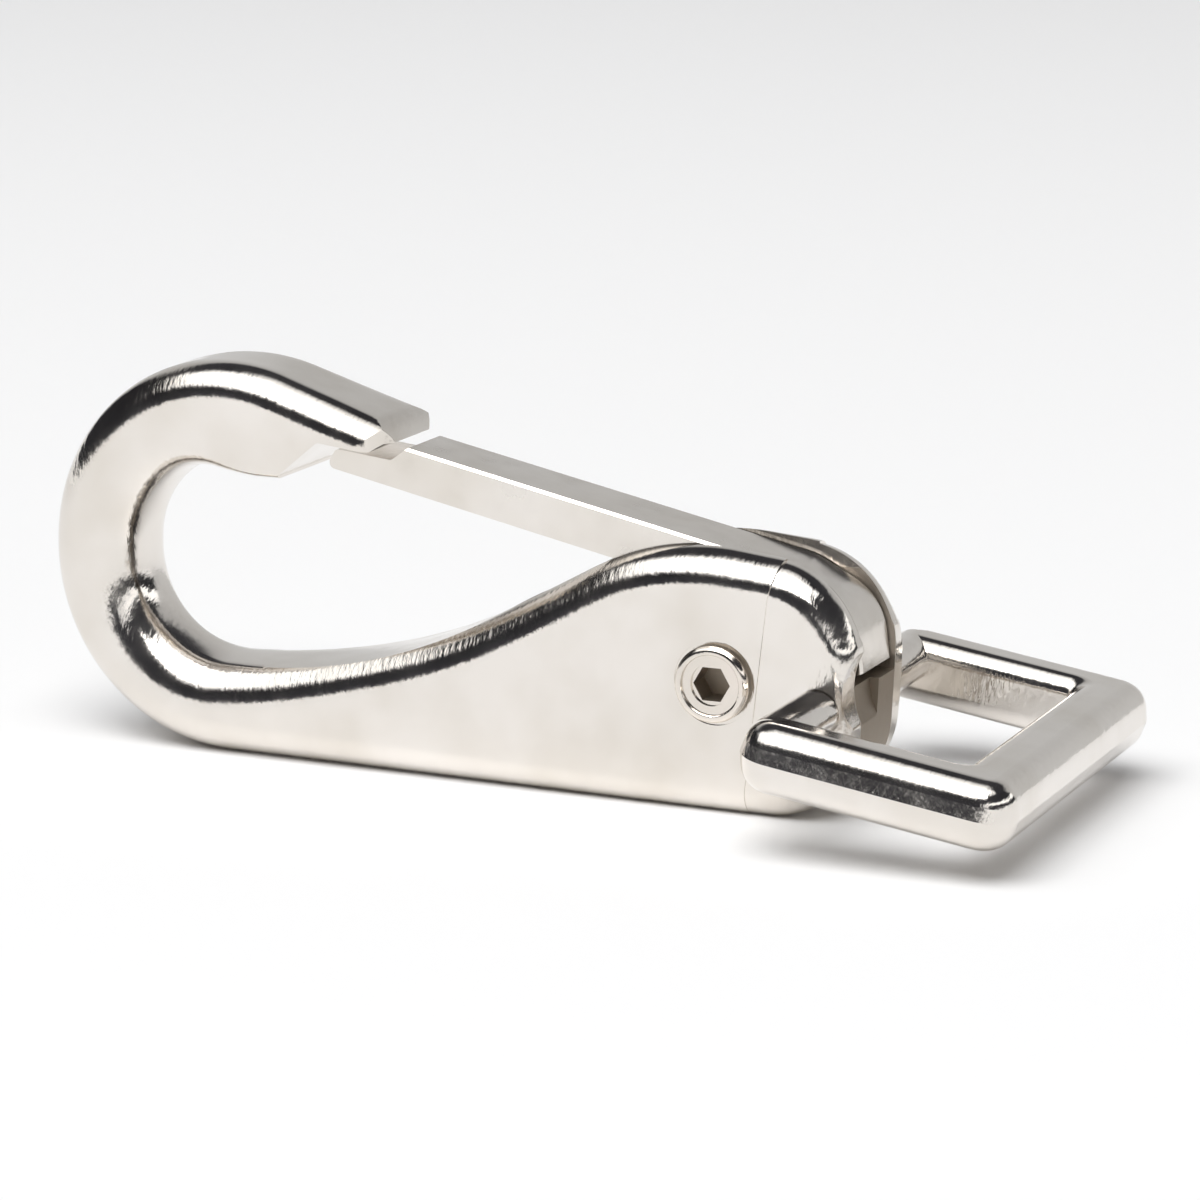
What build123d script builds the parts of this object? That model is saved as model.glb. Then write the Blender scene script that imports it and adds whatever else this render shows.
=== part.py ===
from build123d import *
import math
import os

os.makedirs("parts", exist_ok=True)

# Spring-gate snap hook with a pivoting strap loop, millimetres, +Z up.
# Side outlines are given from the back of the hook's bend (x = 0) and then moved so that the centre
# of the whole object's footprint is the origin. Both sides are alike except for the two pivot heads
# and the relief beside the front trunnion.
LENGTH = 83.63
SHIFT = -LENGTH / 2

# Body casting
HALF_THICK_BEND = 4.4
HALF_THICK_TAIL = 6.3
TAPER_LENGTH = 68.0
BODY_EDGE = 2.6
SEAM_X = 61.4
SEAM_LEAN = 5.0
SEAM_STEP = 0.3
SEAM_INSET = 0.1
SLOT_HALF = 3.4
SPOT_DIA = 6.4
SPOT_DEPTH = 0.14
RELIEF_RADIUS = 6.0
RELIEF_EDGE = 67.0

# Gate and its pivot
PIN = (57.0, 10.0)
PIN_DIA = 4.6
RUN_FIT = 0.05
GATE_HALF = 3.05
GATE_CHAMFER = 0.2
HEAD_DIA = 5.8
HEAD_HEIGHT = 1.1
HEAD_ROUND = 0.45
DISH_DIA = 4.5
DISH_DEPTH = 0.25
DISH_ROUND = 0.15
RECESS_DIA = 3.2
RECESS_DEPTH = 0.45
HEX_FLATS = 2.5
SOCKET_DEPTH = 2.6
SCREW_SOCKET_DEPTH = 0.9
SCREW_DIA = 2.5
SCREW_REACH = 8.0

# Coil spring under the gate
SPRING_X = 51.3
SPRING_DIA = 3.0
WIRE_DIA = 0.6
SPRING_FOOT = 2.4
SPRING_TURNS = 6
POCKET_DIA = 4.4
PAD_Z = 12.0

# Strap loop
TRUNNION = (65.0, 8.35)
TRUNNION_DIA = 2.6
STUB_DIA = 3.8
STUB_GAP = 0.2
LOOP_CLEAR = 26.4
ARM_WIDTH = 5.0
BAR_WIDTH = 5.28
LOOP_HEIGHT = 5.2
LOOP_DROP = 0.73
LOOP_REACH = 18.98
LOOP_HEEL = 2.0
LOOP_DROOP = 9.0
LOOP_DRAFT = 12.0
LOOP_OUTER_EDGE = 2.0
LOOP_INNER_EDGE = 1.5
LOOP_CORNER = 2.8


def half_thick(x):
    return HALF_THICK_BEND + (HALF_THICK_TAIL - HALF_THICK_BEND) * x / TAPER_LENGTH


def plan(plane, corners):
    # A closed outline on a plane from rows of two coordinates and a corner radius.
    with BuildSketch(plane) as sketch:
        with BuildLine():
            FilletPolyline(*[(a, b) for a, b, _ in corners], radius=[r for _, _, r in corners], close=True)
        make_face()
    return sketch.sketch


def rounded(corners):
    # A side outline, on the x-z plane.
    return plan(Plane.XZ, corners)


def slab(outline, half):
    # An outline on the x-z plane, thickened equally to both sides of y = 0.
    return extrude(outline, amount=half, both=True)


def rod(x, z, dia, y0, y1):
    # A cylinder along y, from y0 to y1.
    start = Plane(origin=(x, y0, z), x_dir=(1, 0, 0), z_dir=(0, 1, 0))
    return extrude(start * Circle(dia / 2), amount=y1 - y0)


def wedge(x0, inset):
    # The space between the two tilted side faces, from x0 to beyond the tail, each face moved in by inset.
    x1 = TAPER_LENGTH + 4
    y0 = half_thick(x0) - inset
    y1 = half_thick(x1) - inset
    return extrude(Polygon((x0, y0), (x1, y1), (x1, -y1), (x0, -y0), align=None), amount=40, both=True)


def casting_blank():
    # Solid body with its long rims rounded, before any slot or hole.
    outline = rounded([
        (67.2, 0, 6.5),
        (0, 0, 15.2),
        (0, 36.6, 15.3),
        (29.6, 26.83, 2.6),
        (29.6, 22.3, 2.6),
        (18.6, 22.3, 6.0),
        (7.2, 23.2, 7.3),
        (7.2, 7.15, 7.6),
        (27.9, 7.15, 46.0),
        (51.5, 20.3, 20.0),
        (68.1, 18.6, 7.5),
    ])
    blank = slab(outline, 20) & wedge(-4, 0)
    rims = [e for e in blank.edges() if (e @ 0).Y * (e @ 1).Y > 0]
    return fillet(rims, BODY_EDGE)


def tail_keep():
    # Everything left of the seam, and a slightly smaller envelope to the right of it.
    lean = math.tan(math.radians(SEAM_LEAN))
    left = rounded([
        (-5, -5, 0),
        (SEAM_X - 15 * lean, -5, 0),
        (SEAM_X + 20 * lean, 30, 0),
        (SEAM_X + 20 * lean, 40, 0),
        (-5, 40, 0),
    ])
    right = rounded([
        (40, 0, 0),
        (67.2, 0, 6.5),
        (68.1 - SEAM_STEP / 2, 18.6 - SEAM_STEP, 7.5),
        (40, 21.42 - SEAM_STEP, 0),
    ])
    return slab(left, 20) + (slab(right, 20) & wedge(40, SEAM_INSET))


def hook_body():
    part = casting_blank() & tail_keep()
    # Seat under the nose for the gate's lip.
    part -= slab(rounded([
        (20.7, 21.2, 0),
        (20.7, 22.5, 0),
        (24.2, 25.4, 0.5),
        (28.4, 24.9, 0.6),
        (29.5, 25.8, 0),
        (32.0, 25.8, 0),
        (32.0, 21.2, 0),
    ]), 20)
    # Slot for the gate, open above and behind, with a stop block at the tail.
    part -= slab(rounded([
        (39.8, 28.0, 0),
        (39.8, 13.4, 1.0),
        (46.6, 12.6, 1.5),
        (47.8, 6.0, 1.0),
        (64.6, 6.0, 1.0),
        (64.6, 10.2, 0.8),
        (72.0, 9.8, 0),
        (72.0, 28.0, 0),
    ]), SLOT_HALF)
    part -= Pos(SPRING_X, 0, SPRING_FOOT) * extrude(Circle(POCKET_DIA / 2), amount=10)
    # Pivot bore and flat seats for the two heads.
    x, z = PIN
    part -= rod(x, z, PIN_DIA + 2 * RUN_FIT, -10, 10)
    seat = half_thick(x) - SPOT_DEPTH
    part -= rod(x, z, SPOT_DIA, -10, -seat)
    part -= rod(x, z, SPOT_DIA, seat, 10)
    # Trunnion bores, and the relief beside the front one.
    x, z = TRUNNION
    part -= rod(x, z, TRUNNION_DIA + 2 * RUN_FIT, -10, 10)
    part -= rod(RELIEF_EDGE + RELIEF_RADIUS, z + 1.6, 2 * RELIEF_RADIUS, -10, 0)
    return part


def gate():
    # Lever: lip, straight bar, hub on the pivot and a tail curling round the corner of the cheeks.
    bar_slope = math.tan(math.radians(12.6))
    top_z = 25.1
    lever = slab(rounded([
        (24.8, 24.65, 0.4),
        (29.45, 24.1, 0.3),
        (30.8, top_z, 0),
        (61.6, top_z - 30.8 * bar_slope + 0.25, 6.0),
        (67.0, 15.6, 5.0),
        (67.5, 11.0, 0),
        (66.1, 10.5, 0),
        (64.8, 12.6, 2.0),
        (60.7, 12.2, 1.2),
        (60.5, 6.5, 3.3),
        (53.5, 6.5, 3.3),
        (53.4, PAD_Z, 0.6),
        (49.2, PAD_Z, 0.6),
        (49.2, 17.72, 1.5),
        (24.0, 23.25, 0.5),
    ]), GATE_HALF)
    long_edges = lever.edges().filter_by(lambda e: e.length > 20)
    lever = chamfer(long_edges.sort_by(Axis.Z)[-2:], GATE_CHAMFER)
    x, z = PIN
    return lever - rod(x, z, PIN_DIA + 2 * RUN_FIT, -10, 10)


def head(x, z, seat, side, socket_depth):
    # Low head standing off a side face: a rounded ring around a dish, a recess and a hexagonal socket.
    top = side * (seat + HEAD_HEIGHT)
    button = rod(x, z, HEAD_DIA, side * seat, top)
    button = fillet(button.edges().filter_by(lambda e: abs((e @ 0).Y - top) < 0.01), HEAD_ROUND)
    button -= rod(x, z, DISH_DIA, top - side * DISH_DEPTH, top + side)
    button = fillet(button.edges().filter_by(lambda e: abs((e @ 0).Y - top) < 0.01), DISH_ROUND)
    button -= rod(x, z, RECESS_DIA, top - side * RECESS_DEPTH, top + side)
    key = Plane(origin=(x, top + side, z), x_dir=(1, 0, 0), z_dir=(0, -side, 0))
    hexagon = key * RegularPolygon(HEX_FLATS / 2, 6, major_radius=False)
    return button, extrude(hexagon, amount=1 + socket_depth)


def pivot_barrel():
    # Front sleeve that the gate turns on, with a head and a bore for the screw.
    x, z = PIN
    seat = half_thick(x) - SPOT_DEPTH
    button, socket = head(x, z, seat, -1, SOCKET_DEPTH)
    part = rod(x, z, PIN_DIA, -seat, seat - 0.4) + button - socket
    return part - rod(x, z, SCREW_DIA, seat - SCREW_REACH, 10)


def pivot_screw():
    # Rear screw, its shank filling the sleeve's bore.
    x, z = PIN
    seat = half_thick(x) - SPOT_DEPTH
    button, socket = head(x, z, seat, 1, SCREW_SOCKET_DEPTH)
    return rod(x, z, SCREW_DIA, seat - SCREW_REACH + 0.4, seat) + button - socket


def gate_spring():
    # Compression coil between the floor of its pocket and the pad under the gate.
    height = PAD_Z - SPRING_FOOT - WIRE_DIA - 0.1
    path = Helix(pitch=height / SPRING_TURNS, height=height, radius=SPRING_DIA / 2)
    wire = sweep(Plane(origin=path @ 0, z_dir=path % 0) * Circle(WIRE_DIA / 2), path=path)
    return Pos(SPRING_X, 0, SPRING_FOOT + WIRE_DIA / 2 + 0.05) * wire


def is_rim(edge):
    # Whether an edge of the loop runs round its top or bottom face.
    heights = [(edge @ t).Z + LOOP_DROP for t in (0, 1)]
    return abs(heights[0] - heights[1]) < 0.01 and abs(heights[0]) > 1


def is_opening(edge):
    # Whether an edge of the loop runs round its clear opening.
    middle = edge @ 0.5
    return abs(middle.Y) < LOOP_CLEAR / 2 + 0.1 and middle.X < LOOP_REACH - BAR_WIDTH + 0.1


def strap_loop():
    # Drawn straight out from its trunnion axis, then lowered by the droop angle. The outside is drafted
    # both ways from a parting line at mid height.
    half_in = LOOP_CLEAR / 2
    half_out = half_in + ARM_WIDTH
    bar = LOOP_REACH - BAR_WIDTH
    level = Plane.XY.offset(-LOOP_DROP)
    outside = plan(level, [
        (-LOOP_HEEL, -half_out, LOOP_CORNER),
        (LOOP_REACH, -half_out, LOOP_CORNER),
        (LOOP_REACH, half_out, LOOP_CORNER),
        (-LOOP_HEEL, half_out, LOOP_CORNER),
    ])
    upper = extrude(outside, amount=LOOP_HEIGHT / 2, taper=LOOP_DRAFT)
    frame = upper + mirror(upper, about=level)
    frame -= extrude(plan(level, [
        (-LOOP_HEEL - 2, -half_in, 0),
        (bar, -half_in, 0.6),
        (bar, half_in, 0.6),
        (-LOOP_HEEL - 2, half_in, 0),
    ]), amount=LOOP_HEIGHT, both=True)
    outer = [e for e in frame.edges() if is_rim(e) and not is_opening(e)]
    frame = fillet(outer, LOOP_OUTER_EDGE)
    inner = [e for e in frame.edges() if is_rim(e) and is_opening(e)]
    frame = fillet(inner, LOOP_INNER_EDGE)
    cheek = half_thick(TRUNNION[0]) - SEAM_INSET
    for side in (-1, 1):
        frame += rod(0, 0, STUB_DIA, side * (cheek + STUB_GAP), side * (half_in + ARM_WIDTH / 2))
        frame += rod(0, 0, TRUNNION_DIA, side * (SLOT_HALF + 0.3), side * (cheek + 2))
    return Pos(TRUNNION[0], 0, TRUNNION[1]) * Rot(0, LOOP_DROOP, 0) * frame


NODES = {
    "hook_body": hook_body,
    "gate": gate,
    "pivot_barrel": pivot_barrel,
    "pivot_screw": pivot_screw,
    "gate_spring": gate_spring,
    "strap_loop": strap_loop,
}

for name, make in NODES.items():
    export_step(Pos(SHIFT, 0, 0) * make(), f"parts/{name}.step")
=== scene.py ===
import math

import bmesh
import bpy
from mathutils import Matrix, Vector


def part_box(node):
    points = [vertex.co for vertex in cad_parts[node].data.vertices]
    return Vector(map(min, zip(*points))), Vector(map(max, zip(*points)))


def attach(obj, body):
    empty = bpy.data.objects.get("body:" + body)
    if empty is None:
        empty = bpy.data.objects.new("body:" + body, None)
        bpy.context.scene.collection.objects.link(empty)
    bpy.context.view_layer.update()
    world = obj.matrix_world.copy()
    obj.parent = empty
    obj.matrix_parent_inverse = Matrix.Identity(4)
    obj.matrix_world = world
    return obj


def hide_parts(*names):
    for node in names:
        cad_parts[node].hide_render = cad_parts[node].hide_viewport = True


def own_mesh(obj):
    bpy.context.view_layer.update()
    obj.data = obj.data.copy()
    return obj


# Spring-gate snap hook with a strap loop. Metres, +Z up, +X from the hook's bend to the loop.
# Shapes are drawn in millimetres, x counted from the back of the bend, and placed by the frame.
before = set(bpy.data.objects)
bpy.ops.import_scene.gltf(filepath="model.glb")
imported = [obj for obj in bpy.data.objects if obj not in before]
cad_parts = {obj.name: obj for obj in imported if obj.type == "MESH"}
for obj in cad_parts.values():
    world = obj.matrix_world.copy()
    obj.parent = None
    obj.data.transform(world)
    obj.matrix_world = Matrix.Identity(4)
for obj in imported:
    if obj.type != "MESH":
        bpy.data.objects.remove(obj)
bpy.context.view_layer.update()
MM = 0.001
BEND_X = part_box("hook_body")[0][0]

# Camera, as the photograph sees the object
CAMERA_AT = (0.13602, -0.31136, 0.08843)
CAMERA_TO = (0.00353, 0.0, 0.01403)
CAMERA_FOV = 14.88

# Body casting: half thickness at the bend and at the tail, and the line where the tail steps in
HALF_BEND = 4.4
HALF_TAIL = 6.3
TAPER_LENGTH = 68.0
SEAM_X = 60.6
SEAM_LEAN = 0.13
SEAM_STEP = 0.18
SEAM_INSET = 0.08
NOSE_X = 29.9
NOSE_ROLL = 2.6
NOSE_CORNER = 3.0
NOSE_SLOPE = math.atan(0.33)
SLOT_HALF = 3.4
PAST = 20.0

# Bores, the flat seats for the pivot's heads, and the relief beside the front trunnion
PIN = (57.0, 10.0)
PIN_BORE = 2.35
SEAT_RADIUS = 3.2
SEAT_DEPTH = 0.14
SOCKET_MOUTH = 6.4
TRUNNION = (65.0, 8.35)
TRUNNION_BORE = 1.35
RELIEF = (73.0, 9.95)
RELIEF_RADIUS = 6.0

# Coil spring
SPRING_X = 51.3
SPRING_RADIUS = 1.5
SPRING_WIRE = 0.3
SPRING_FOOT = 2.75
SPRING_RISE = 8.9
SPRING_TURNS = 6

# Nickel plate, linear colours, and the height of its orange peel in metres
NICKEL_FACE = (0.83, 0.79, 0.745, 1.0)
NICKEL_DARK = (0.73, 0.685, 0.625, 1.0)
# Dull brown painted into the slot and the hex sockets as their shade; also the spring's random darker tone
SHADE_BROWN_AND_SPRING_TONE = (0.36, 0.31, 0.255, 1.0)
PIN_NICKEL = (0.80, 0.735, 0.67, 1.0)
CAST_PEEL = 0.000032
GATE_PEEL = 0.000012
TURNED_PEEL = 0.000004
CLOUD_SCALE = 130.0
GLOSS_SCALE = 420.0
PEEL_SCALE = 1000.0
INSIDE_ROUGHNESS = 0.5
SOFT_END = 0.0001

# Studio brightness by height, from the horizon (0) to overhead (1): behind the camera, beyond the
# object, and at the two ends, outside the large soft panel
NEAR_WALL = [(0.0, 1.1), (0.04, 1.0), (0.09, 0.04), (0.49, 0.02), (0.56, 1.5), (1.0, 1.6)]
FAR_WALL = [(0.0, 0.62), (0.30, 0.58), (0.56, 0.46), (0.66, 0.04), (0.93, 0.03), (0.99, 1.2)]
LEFT_WALL = [(0.0, 1.2), (0.03, 1.0), (0.07, 0.03), (0.60, 0.015), (0.80, 0.10), (1.0, 0.04)]
RIGHT_WALL = [
    (0.0, 1.1), (0.05, 1.0), (0.09, 0.03), (0.24, 0.02),
    (0.28, 1.4), (0.38, 1.4), (0.42, 0.03), (1.0, 0.03),
]
PANEL_LEFT = -0.70
PANEL_RIGHT = 0.54
PANEL_FADE = 0.08
PANEL_LEAN = 0.35
SHADOW_BLUE = 1.15
SOFTBOX_WATTS = 23.0
FLOOR_HALF = 3.0



def node_tree(material):
    material.use_nodes = True
    tree = material.node_tree
    return tree, tree.nodes["Principled BSDF"]


def between(tree, value, low, high):
    # 1 inside low..high, 0 outside, with soft ends.
    rise = stretched(tree, value, low - SOFT_END, low + SOFT_END, 0.0, 1.0)
    fall = stretched(tree, value, high - SOFT_END, high + SOFT_END, 1.0, 0.0)
    return multiplied(tree, rise, fall)


def computed(tree, operation, *values):
    # A math node on one or two other nodes' outputs.
    node = tree.nodes.new("ShaderNodeMath")
    node.operation = operation
    for socket, value in zip(node.inputs, values):
        tree.links.new(value, socket)
    return node.outputs["Value"]


def multiplied(tree, a, b):
    return computed(tree, "MULTIPLY", a, b)


def mixed(tree, factor, first, second):
    # Two colours, each a value or another node's output, blended by an output.
    mix = tree.nodes.new("ShaderNodeMixRGB")
    for socket, value in zip(mix.inputs, (factor, first, second)):
        if isinstance(value, tuple):
            socket.default_value = value
        else:
            tree.links.new(value, socket)
    return mix.outputs["Color"]


def stretched(tree, value, low, high, out_low, out_high):
    # The range low..high mapped to out_low..out_high and held at its ends.
    spread = tree.nodes.new("ShaderNodeMapRange")
    for socket, number in zip(spread.inputs[1:5], (low, high, out_low, out_high)):
        socket.default_value = number
    tree.links.new(value, spread.inputs["Value"])
    return spread.outputs["Result"]


def noise(tree, where, scale, detail):
    texture = tree.nodes.new("ShaderNodeTexNoise")
    texture.inputs["Scale"].default_value = scale
    texture.inputs["Detail"].default_value = detail
    tree.links.new(where, texture.inputs["Vector"])
    return texture.outputs["Fac"]


def nickel(name, colour, dull, roughness, wear, peel, painted_shade_box=None):
    # Plated metal: cloudy colour, uneven gloss, and orange peel drawn out into short streaks. The last
    # argument is a box of (low, high) pairs, in metres, inside which a dull brown is painted in as shade
    # and the gloss is duller.
    material = bpy.data.materials.new(name)
    tree, shader = node_tree(material)
    link = tree.links.new
    shader.inputs["Metallic"].default_value = 1.0
    where = tree.nodes.new("ShaderNodeTexCoord").outputs["Object"]
    cloud = noise(tree, where, CLOUD_SCALE, 4.0)
    colour_out = mixed(tree, stretched(tree, cloud, 0.38, 0.72, 0.0, 1.0), colour, dull)
    gloss = noise(tree, where, GLOSS_SCALE, 5.0)
    rough_out = stretched(tree, gloss, 0.3, 0.7, roughness, roughness + wear)
    if painted_shade_box:
        axes = tree.nodes.new("ShaderNodeSeparateXYZ")
        link(where, axes.inputs["Vector"])
        dark = None
        for axis, (low, high) in zip("XYZ", painted_shade_box):
            part = between(tree, axes.outputs[axis], low, high)
            dark = part if dark is None else multiplied(tree, dark, part)
        # Painted shade: inside the box the colour turns to the dull brown, standing in for the shade of the
        # recess
        colour_out = mixed(tree, dark, colour_out, SHADE_BROWN_AND_SPRING_TONE)
        blend = tree.nodes.new("ShaderNodeMix")
        link(dark, blend.inputs["Factor"])
        link(rough_out, blend.inputs["A"])
        blend.inputs["B"].default_value = INSIDE_ROUGHNESS
        rough_out = blend.outputs["Result"]
    link(colour_out, shader.inputs["Base Color"])
    link(rough_out, shader.inputs["Roughness"])
    # The peel fades on surfaces that face straight up or down.
    normal = tree.nodes.new("ShaderNodeSeparateXYZ")
    link(tree.nodes.new("ShaderNodeNewGeometry").outputs["Normal"], normal.inputs["Vector"])
    upright = computed(tree, "ABSOLUTE", normal.outputs["Z"])
    rolled = stretched(tree, upright, 0.80, 0.95, 1.0, 0.12)
    streaks = tree.nodes.new("ShaderNodeVectorMath")
    streaks.operation = "MULTIPLY"
    streaks.inputs[1].default_value = (3.0, 1.0, 1.0)
    link(where, streaks.inputs[0])
    height = multiplied(tree, noise(tree, streaks.outputs["Vector"], PEEL_SCALE, 3.0), rolled)
    bump = tree.nodes.new("ShaderNodeBump")
    bump.inputs["Distance"].default_value = peel
    link(height, bump.inputs["Height"])
    link(bump.outputs["Normal"], shader.inputs["Normal"])
    return material


def turned(vector, angle):
    # Clockwise as seen with x to the right and z up.
    return vector @ Matrix.Rotation(angle, 2)


def side_outline(rows, step=0.45):
    # Walks clockwise round a polygon with rounded corners. A row is (x, z, corner radius, *shape). Each
    # point that comes back is (position, inward direction, shape), and shape runs smoothly from one
    # corner to the next.
    count = len(rows)
    corners = [Vector(row[:2]) for row in rows]
    stops = []
    for i, row in enumerate(rows):
        way_in = (corners[i] - corners[i - 1]).normalized()
        way_out = (corners[(i + 1) % count] - corners[i]).normalized()
        turn = way_in.angle_signed(way_out)
        start = corners[i] - way_in * row[2] * math.tan(abs(turn) / 2)
        centre = start + Vector((way_in.y, -way_in.x)) * math.copysign(row[2], turn)
        parts = 0
        if row[2]:
            parts = max(1, round(abs(turn) / math.radians(4.0)), round(abs(turn) * row[2] / step))
        arc = []
        for k in range(parts + 1):
            angle = turn * k / max(1, parts)
            arc.append((centre + turned(start - centre, angle), turned(way_in, angle)))
        stops.append(arc)
    walk, marks, travelled = [], [], 0.0
    for i, arc in enumerate(stops):
        for k, (spot, heading) in enumerate(arc):
            if k:
                travelled += (spot - arc[k - 1][0]).length
            if k == len(arc) // 2:
                marks.append(travelled)
            walk.append((spot, heading, travelled))
        here, there = arc[-1][0], stops[(i + 1) % count][0][0]
        straight = (there - here).length
        parts = max(1, round(straight / step))
        heading = (there - here).normalized()
        for k in range(1, parts):
            walk.append((here.lerp(there, k / parts), heading, travelled + straight * k / parts))
        travelled += straight
    out = []
    for spot, heading, place in walk:
        i = sum(mark <= place for mark in marks) - 1
        low = marks[i] if i >= 0 else marks[-1] - travelled
        high = marks[i + 1] if i + 1 < count else marks[0] + travelled
        t = (place - low) / (high - low)
        t = t * t * (3 - 2 * t)
        pairs = zip(rows[i][3:], rows[(i + 1) % count][3:])
        out.append((spot, Vector((heading.y, -heading.x)), [a + (b - a) * t for a, b in pairs]))
    return out


def new_mesh(name, points, faces):
    # Points are in millimetres, x from the back of the bend.
    mesh = bpy.data.meshes.new(name)
    mesh.from_pydata([(BEND_X + x * MM, y * MM, z * MM) for x, y, z in points], [], faces)
    work = bmesh.new()
    work.from_mesh(mesh)
    bmesh.ops.recalc_face_normals(work, faces=work.faces)
    work.to_mesh(mesh)
    work.free()
    thing = bpy.data.objects.new(name, mesh)
    bpy.context.scene.collection.objects.link(thing)
    return thing


def prism(name, outline, low, high, upright=False):
    # A side outline of (x, z) points as a solid between y = low and high, or a plan of (x, y) points,
    # standing upright from z = low to high.
    count = len(outline)
    points = [(a, b, c) if upright else (a, c, b) for c in (low, high) for a, b in outline]
    faces = [tuple(range(count)), tuple(reversed(range(count, 2 * count)))]
    for i in range(count):
        j = (i + 1) % count
        faces.append((j, i, i + count, j + count))
    return new_mesh(name, points, faces)


def disc(x, z, radius, parts=64):
    angles = [2 * math.pi * k / parts for k in range(parts)]
    return [(x + radius * math.sin(a), z + radius * math.cos(a)) for a in angles]


def rounded_outline(rows):
    return [tuple(spot) for spot, _, _ in side_outline(rows)]


def half_thick(x):
    return HALF_BEND + (HALF_TAIL - HALF_BEND) * x / TAPER_LENGTH


def behind_seam(x, z):
    return x > SEAM_X + SEAM_LEAN * (z - 10.0)


def body_stations():
    # Rows: x, z, corner radius, then the edge's rounding radius, the angle at which the rounding starts
    # and the crown of the wall between the two edges.
    walk = side_outline([
        (67.2, 0, 6.5, 1.9, 0, 0),
        (0, 0, 15.2, 2.9, 0, 0),
        (0, 36.6, 15.3, 3.0, 0, 0),
        (24.0, 28.68, 0, 2.6, 0, 0),
        (30.6, 26.50, 0, 2.3, 0, 0),
        (35.5, 26.50, 2.5, 2.2, 0, 0),
        (35.5, 22.3, 1.2, 0.7, 0, 0),
        (18.6, 22.3, 6.0, 0.7, 0, 0),
        (7.2, 23.2, 7.3, 3.6, 10, 0.12),
        (7.2, 7.15, 7.6, 3.9, 22, 0.25),
        (27.9, 7.15, 46.0, 3.3, 41, 0.1),
        (51.5, 20.3, 20.0, 2.9, 0, 0),
        (68.1, 18.6, 7.5, 2.5, 0, 0),
        (67.65, 9.0, 0, 1.3, 0, 0),
    ])
    stations = []
    for i, (spot, inward, shape) in enumerate(walk):
        before = walk[i - 1]
        if behind_seam(*before[0]) != behind_seam(*spot):
            middle = before[0].lerp(spot, 0.5)
            nudge = (spot - before[0]).normalized() * 0.01
            stations.append((middle - nudge, inward, shape, behind_seam(*before[0])))
            stations.append((middle + nudge, inward, shape, behind_seam(*spot)))
        stations.append((spot, inward, shape, behind_seam(*spot)))
    return stations


def body_column(spot, inward, shape, behind):
    # One section of the casting's edge, from its middle plane to the flat of the front face. The step at
    # the seam fades out below the top edge.
    rounding, start, crown = shape
    start = math.radians(start)
    low = 0.0
    if behind and inward.y < -0.2:
        low = SEAM_STEP * min(1.0, max(0.0, (spot.y - 12.0) / 3.0))
    inset = SEAM_INSET if behind else 0.0
    wall, arc = 5, 14
    column = []
    for j in range(wall):
        t = j / wall
        depth = low + crown * t * t
        at = spot + inward * depth
        side = half_thick(at.x) - inset - rounding * (1 - math.sin(start))
        column.append((at.x, -side * t, at.y))
    for k in range(arc + 1):
        angle = start + (math.pi / 2 - start) * k / arc
        depth = low + crown + rounding * (math.cos(start) - math.cos(angle))
        at = spot + inward * depth
        column.append((at.x, rounding * (1 - math.sin(angle)) + inset - half_thick(at.x), at.y))
    return column


def body_blank():
    stations = body_stations()
    columns = [body_column(*station) for station in stations]
    count, rings = len(columns), len(columns[0])
    points = [point for column in columns for point in column]
    points += [(x, -y, z) for column in columns for x, y, z in column[1:]]

    def front(i, k):
        return (i % count) * rings + k

    def back(i, k):
        return count * rings + (i % count) * (rings - 1) + k - 1 if k else front(i, 0)

    faces = []
    for i in range(count):
        for k in range(rings - 1):
            faces.append((front(i, k), front(i, k + 1), front(i + 1, k + 1), front(i + 1, k)))
            faces.append((back(i, k + 1), back(i, k), back(i + 1, k), back(i + 1, k + 1)))
    breaks = [i for i in range(count) if stations[i][3] != stations[(i + 1) % count][3]]
    low, high = breaks
    bend = list(range(low + 1, high + 1))
    tail = list(range(high + 1, count)) + list(range(low + 1))
    seam = [high, high + 1, low, low + 1]
    for ring in (bend, tail, seam):
        faces.append(tuple(front(i, rings - 1) for i in ring))
        faces.append(tuple(back(i, rings - 1) for i in reversed(ring)))
    return new_mesh("hook_body_cast", points, faces)


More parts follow.
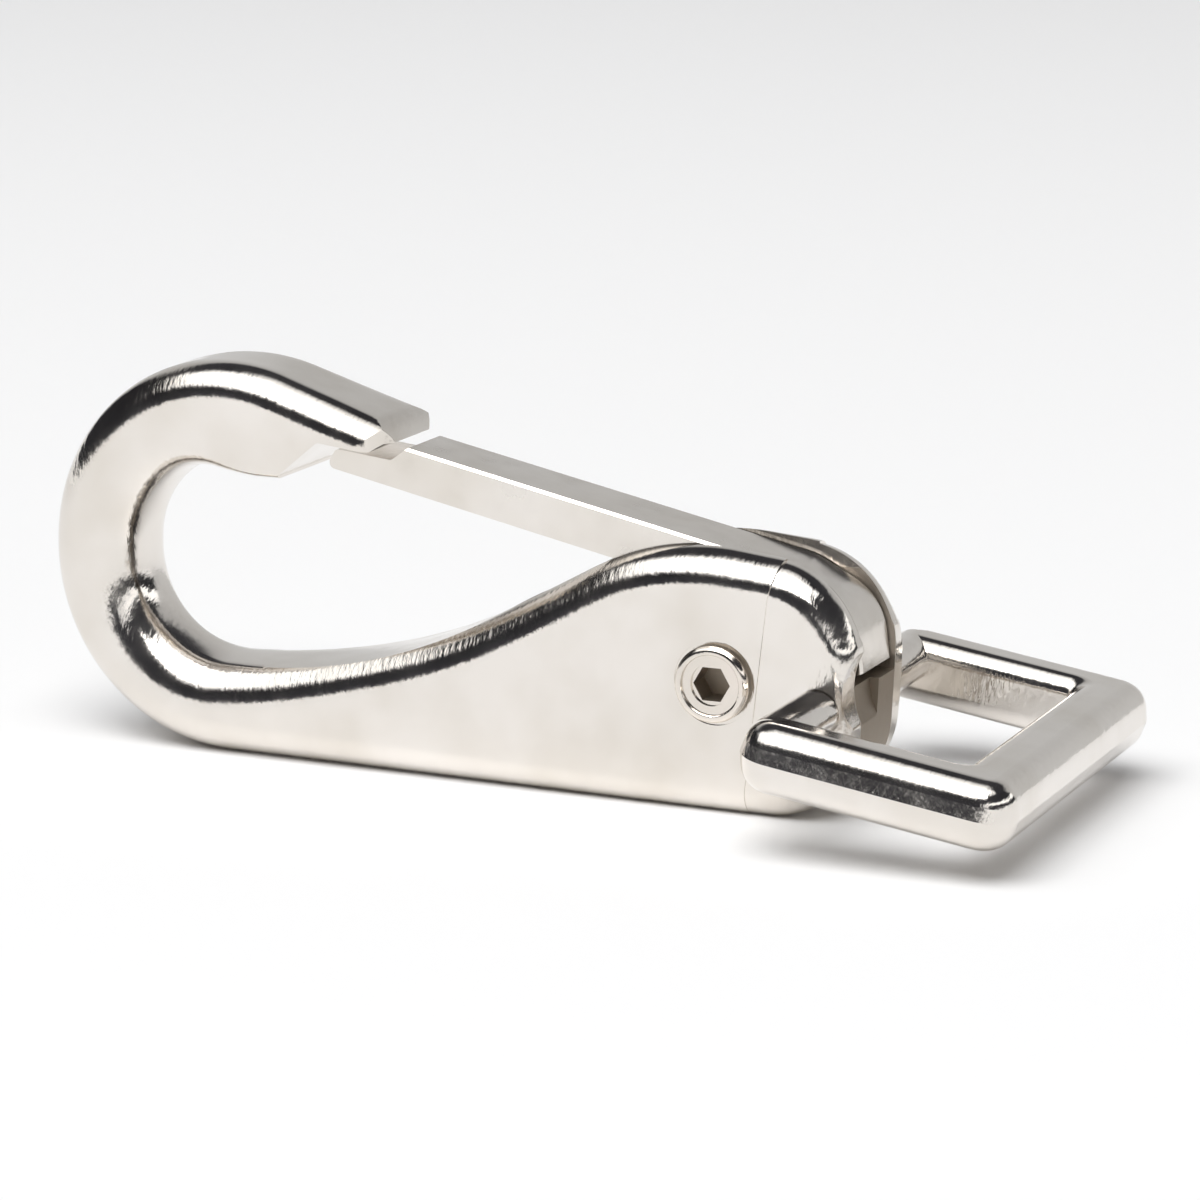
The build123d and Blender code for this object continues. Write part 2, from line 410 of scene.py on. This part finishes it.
def body_cutters():
    # The nose's top rolls down to its tip.
    centre = Vector((NOSE_X - NOSE_ROLL, 0))
    centre.y = 26.50 + 0.33 * (30.6 - centre.x) - NOSE_ROLL / math.cos(NOSE_SLOPE)
    turns = [(math.pi / 2 - NOSE_SLOPE) * k / 16 for k in range(17)]
    roll = [(centre.x + NOSE_ROLL * math.cos(a), centre.y + NOSE_ROLL * math.sin(a)) for a in turns]
    below, above, beyond = 21.0, 34.0, 40.0
    over = [(roll[-1][0] + 2, above), (beyond, above)]
    yield prism("cut_nose", [(beyond, below), (NOSE_X, below)] + roll + over, -PAST, PAST)
    # Its corners are rounded in plan.
    edge = half_thick(NOSE_X) - NOSE_CORNER
    back = NOSE_X - NOSE_CORNER
    turns = [math.pi / 2 * k / 16 for k in range(17)]
    round_off = [(back + NOSE_CORNER * math.sin(a), edge + NOSE_CORNER * math.cos(a)) for a in turns]
    for side in (-1, 1):
        plan = [(x, side * y) for x, y in [(back, 9.0)] + round_off + [(beyond, edge), (beyond, 9.0)]]
        yield prism("cut_nose_corner", plan, below, above, upright=True)
    yield prism("cut_seat", rounded_outline([
        (32.0, 21.2, 0),
        (20.7, 21.2, 0),
        (20.7, 22.5, 0),
        (24.2, 25.4, 0.5),
        (28.4, 24.9, 0.6),
        (29.3, 25.5, 0),
        (32.0, 25.5, 0),
    ]), -PAST, PAST)
    yield prism("cut_slot", rounded_outline([
        (39.8, 13.4, 1.0),
        (39.8, 28.0, 0),
        (72.0, 28.0, 0),
        (72.0, 9.8, 0),
        (64.6, 10.2, 0.8),
        (64.6, 6.0, 1.0),
        (47.8, 6.0, 1.0),
        (46.6, 12.6, 1.5),
    ]), -SLOT_HALF, SLOT_HALF)
    yield prism("cut_pin", disc(*PIN, PIN_BORE), -PAST, PAST)
    seat = half_thick(PIN[0]) - SEAT_DEPTH
    for name, low, high in (("cut_seat_front", -10, -seat), ("cut_seat_back", seat, 10)):
        yield prism(name, disc(*PIN, SEAT_RADIUS), low, high)
    yield prism("cut_trunnion", disc(*TRUNNION, TRUNNION_BORE), -PAST, PAST)
    yield prism("cut_relief", disc(*RELIEF, RELIEF_RADIUS, 96), -PAST, 0)


def carve(thing, cutters):
    # Takes each cutter away from the piece, then keeps only the result.
    for cutter in cutters:
        cut = thing.modifiers.new("cut", "BOOLEAN")
        cut.operation = "DIFFERENCE"
        cut.solver = "EXACT"
        cut.object = cutter
        bpy.context.view_layer.update()
        result = bpy.data.meshes.new_from_object(thing.evaluated_get(bpy.context.evaluated_depsgraph_get()))
        thing.modifiers.clear()
        thing.data = result
        bpy.data.objects.remove(cutter)
    return thing


def coil_spring():
    # Wire wound round a vertical axis, its coils closer together towards both ends.
    steps, ring = 24 * SPRING_TURNS, 12
    points = []
    for i in range(steps + 1):
        t = i / steps
        turn = 2 * math.pi * SPRING_TURNS * t
        rise = SPRING_FOOT + SPRING_RISE * (t - 0.5 * math.sin(2 * math.pi * t) / (2 * math.pi))
        for k in range(ring):
            angle = 2 * math.pi * k / ring
            reach = SPRING_RADIUS + SPRING_WIRE * math.cos(angle)
            z = rise + SPRING_WIRE * math.sin(angle)
            points.append((SPRING_X + reach * math.cos(turn), reach * math.sin(turn), z))
    faces = [tuple(range(ring)), tuple(range(steps * ring, steps * ring + ring))]
    for i in range(steps):
        for k in range(ring):
            j = (k + 1) % ring
            faces.append((i * ring + k, i * ring + j, (i + 1) * ring + j, (i + 1) * ring + k))
    return new_mesh("gate_spring_coil", points, faces)


def smooth(thing, angle):
    # Smooth shading with crisp creases, flats kept flat.
    mesh = thing.data
    mesh.polygons.foreach_set("use_smooth", [True] * len(mesh.polygons))
    mesh.set_sharp_from_angle(angle=math.radians(angle))
    keep = thing.modifiers.new("flats", "WEIGHTED_NORMAL")
    keep.keep_sharp = True
    keep.weight = 100
    return thing


def dress(node, material):
    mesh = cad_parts[node].data
    mesh.materials.clear()
    mesh.materials.append(material)


def studio():
    # A pale tent round the object. On the camera's side it goes from a bright horizon through a dark gap
    # to the large soft panel, and on the far side from a grey wall to the panel's dark edge. Both ends are
    # dark, with one small bright window at the right.
    world = bpy.data.worlds.new("tent")
    bpy.context.scene.world = world
    world.use_nodes = True
    tree = world.node_tree
    split = tree.nodes.new("ShaderNodeSeparateXYZ")
    tree.links.new(tree.nodes.new("ShaderNodeTexCoord").outputs["Generated"], split.inputs["Vector"])
    x, y, z = split.outputs
    # The soft panel's lower edge climbs to the right.
    lifted = stretched(tree, z, 0.12, 0.3, 0.0, 1.0)
    drop = multiplied(tree, lifted, stretched(tree, x, -0.4, 0.6, 0.0, PANEL_LEAN))
    near = wall(tree, computed(tree, "SUBTRACT", z, drop), NEAR_WALL)
    far, left, right = (wall(tree, z, stops) for stops in (FAR_WALL, LEFT_WALL, RIGHT_WALL))
    beyond = stretched(tree, y, -0.05, 0.12, 0.0, 1.0)
    past_left = stretched(tree, x, PANEL_LEFT, PANEL_LEFT - PANEL_FADE, 0.0, 1.0)
    past_right = stretched(tree, x, PANEL_RIGHT, PANEL_RIGHT + PANEL_FADE, 0.0, 1.0)
    tent = mixed(tree, past_right, mixed(tree, beyond, near, far), right)
    tree.links.new(mixed(tree, past_left, tent, left), tree.nodes["Background"].inputs["Color"])


def wall(tree, height, stops):
    # Brightness by height; the darkest parts are slightly blue.
    ramp = tree.nodes.new("ShaderNodeValToRGB")
    tree.links.new(height, ramp.inputs["Fac"])
    while len(ramp.color_ramp.elements) < len(stops):
        ramp.color_ramp.elements.new(0.5)
    for element, (place, value) in zip(ramp.color_ramp.elements, stops):
        element.position = place
        element.color = (value, value, value * (SHADOW_BLUE if value < 0.1 else 1.0), 1.0)
    return ramp.outputs["Color"]


def floor():
    mesh = bpy.data.meshes.new("floor")
    corners = [(FLOOR_HALF * x, FLOOR_HALF * y, 0) for x, y in ((-1, -1), (1, -1), (1, 1), (-1, 1))]
    mesh.from_pydata(corners, [], [(0, 1, 2, 3)])
    sheet = bpy.data.objects.new("floor", mesh)
    bpy.context.scene.collection.objects.link(sheet)
    material = bpy.data.materials.new("floor_white")
    _, shader = node_tree(material)
    shader.inputs["Base Color"].default_value = (0.93, 0.93, 0.93, 1.0)
    shader.inputs["Roughness"].default_value = 0.9
    mesh.materials.append(material)


def softbox(name, at, to, size, power):
    light = bpy.data.lights.new(name, "AREA")
    light.shape = "RECTANGLE"
    light.size, light.size_y = size
    light.energy = power
    lamp = bpy.data.objects.new(name, light)
    lamp.location = at
    lamp.rotation_euler = (Vector(to) - Vector(at)).to_track_quat("-Z", "Y").to_euler()
    bpy.context.scene.collection.objects.link(lamp)


def camera():
    data = bpy.data.cameras.new("camera")
    data.sensor_width = 36.0
    data.lens = 18.0 / math.tan(math.radians(CAMERA_FOV / 2))
    data.clip_start = 0.01
    data.clip_end = 20.0
    view = bpy.data.objects.new("camera", data)
    view.location = CAMERA_AT
    view.rotation_euler = (Vector(CAMERA_TO) - Vector(CAMERA_AT)).to_track_quat("-Z", "Y").to_euler()
    bpy.context.scene.collection.objects.link(view)
    bpy.context.scene.camera = view


studio()
floor()
camera()
softbox("overhead", (0.0, -0.9, 1.6), (0.0, 0.0, 0.0), (1.6, 1.2), SOFTBOX_WATTS)
bpy.context.scene.view_settings.view_transform = "Standard"

# Boxes of painted shade: the slot between the cheeks, and the inside of the pivot's hex sockets
slot_shade_box = ((BEND_X + 0.0396, BEND_X + 0.080), (-0.00345, 0.00345), (0.0012, 0.0175))
socket_shade_box = ((-1.0, 1.0), (-SOCKET_MOUTH * MM, SOCKET_MOUTH * MM), (-1.0, 1.0))
body_nickel = nickel("body_nickel", NICKEL_FACE, NICKEL_DARK, 0.09, 0.09, CAST_PEEL, slot_shade_box)
gate_nickel = nickel("gate_nickel", NICKEL_FACE, NICKEL_DARK, 0.16, 0.12, GATE_PEEL)
loop_nickel = nickel("loop_nickel", NICKEL_FACE, NICKEL_DARK, 0.09, 0.09, CAST_PEEL)
pin_nickel = nickel("pin_nickel", PIN_NICKEL, NICKEL_DARK, 0.10, 0.08, TURNED_PEEL, socket_shade_box)
spring_steel = nickel("spring_steel", NICKEL_DARK, SHADE_BROWN_AND_SPRING_TONE, 0.25, 0.10, TURNED_PEEL)
cast = smooth(carve(body_blank(), body_cutters()), 28.0)
cast.data.materials.append(body_nickel)
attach(cast, "hook")
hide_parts("hook_body")
coil = smooth(coil_spring(), 50.0)
coil.data.materials.append(spring_steel)
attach(coil, "hook")
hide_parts("gate_spring")
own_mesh(coil)
dress("gate", gate_nickel)
dress("strap_loop", loop_nickel)
for node in ("pivot_barrel", "pivot_screw"):
    dress(node, pin_nickel)
